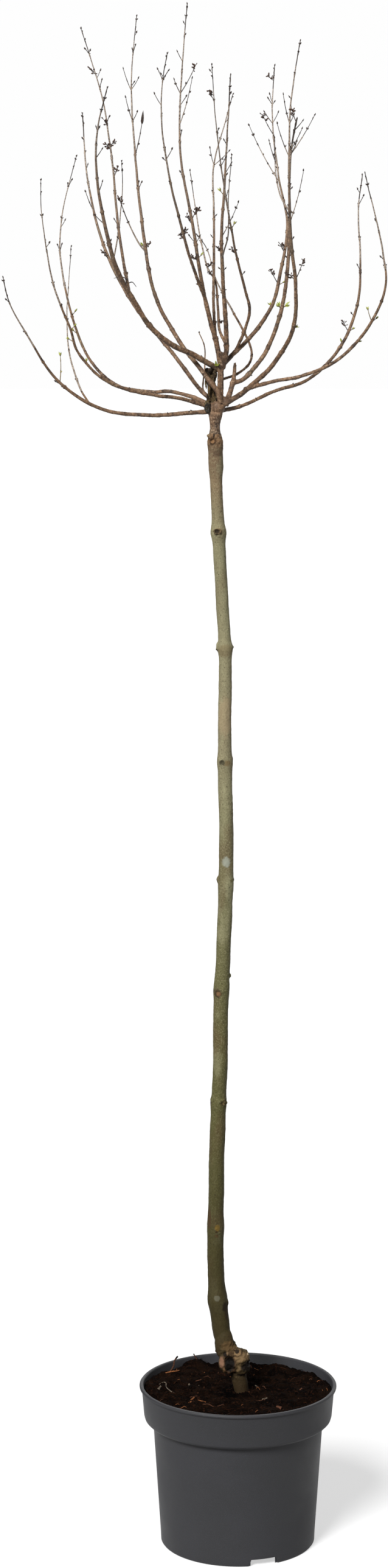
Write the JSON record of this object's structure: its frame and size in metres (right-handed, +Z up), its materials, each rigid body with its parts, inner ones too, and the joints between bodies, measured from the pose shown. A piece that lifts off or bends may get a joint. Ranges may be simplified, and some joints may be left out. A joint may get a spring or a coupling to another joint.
{
  "type": "potted lilac standard",
  "caption": "Lilac grown as a standard: bare twiggy crown of upswept boughs grafted on a slim straight stem, in a round plastic nursery pot.",
  "frame": {"origin": "centre of the pot's flat underside, on the surface the pot stands on", "axes": "+Z up along the stem, +X to the right and +Y to the back as the plant is seen from the front"},
  "size_m": [0.5116, 0.4315, 2.1441],
  "materials": {
    "pot_plastic": "satin",
    "soil": "matte",
    "stem_bark": "matte",
    "dead_wood": "matte",
    "bough_bark": "matte",
    "twigs": "matte"
  },
  "bodies": {
    "root": {"pot": "pot_plastic", "soil": "soil", "trunk": "stem_bark", "bough_centre": "bough_bark", "bough_front_right": "bough_bark", "bough_low_right": "bough_bark", "bough_right_back": "bough_bark", "bough_low_left": "bough_bark", "bough_left_front": "bough_bark", "bough_left_back": "bough_bark", "bough_rear_left": "bough_bark", "bough_inner_left": "bough_bark", "stub_dead": "dead_wood", "bough_rear_shoot": "bough_bark", "bough_front_left": "bough_bark", "bough_tall_left": "bough_bark", "bough_leader": "bough_bark", "bough_inner_front": "bough_bark", "bough_rear_middle": "bough_bark", "bough_middle_front": "bough_bark", "bough_rear_inner": "bough_bark", "bough_rear_sweep": "bough_bark", "bough_rear_right": "bough_bark", "bough_front_middle": "bough_bark", "stub_snag": "dead_wood", "bough_tall_right": "bough_bark", "twigs_front_right": "twigs", "twigs_low_right": "twigs", "twigs_right_back": "twigs", "twigs_low_left": "twigs", "twigs_left_front": "twigs", "twigs_left_back": "twigs", "twigs_rear_left": "twigs", "twigs_inner_left": "twigs", "twigs_front_left": "twigs", "twigs_tall_left": "twigs", "twigs_leader": "twigs", "twigs_inner_front": "twigs", "twigs_rear_middle": "twigs", "twigs_middle_front": "twigs", "twigs_rear_inner": "twigs", "twigs_rear_sweep": "twigs", "twigs_rear_right": "twigs", "twigs_front_middle": "twigs", "twigs_tall_right": "twigs"}
  },
  "joints": []
}
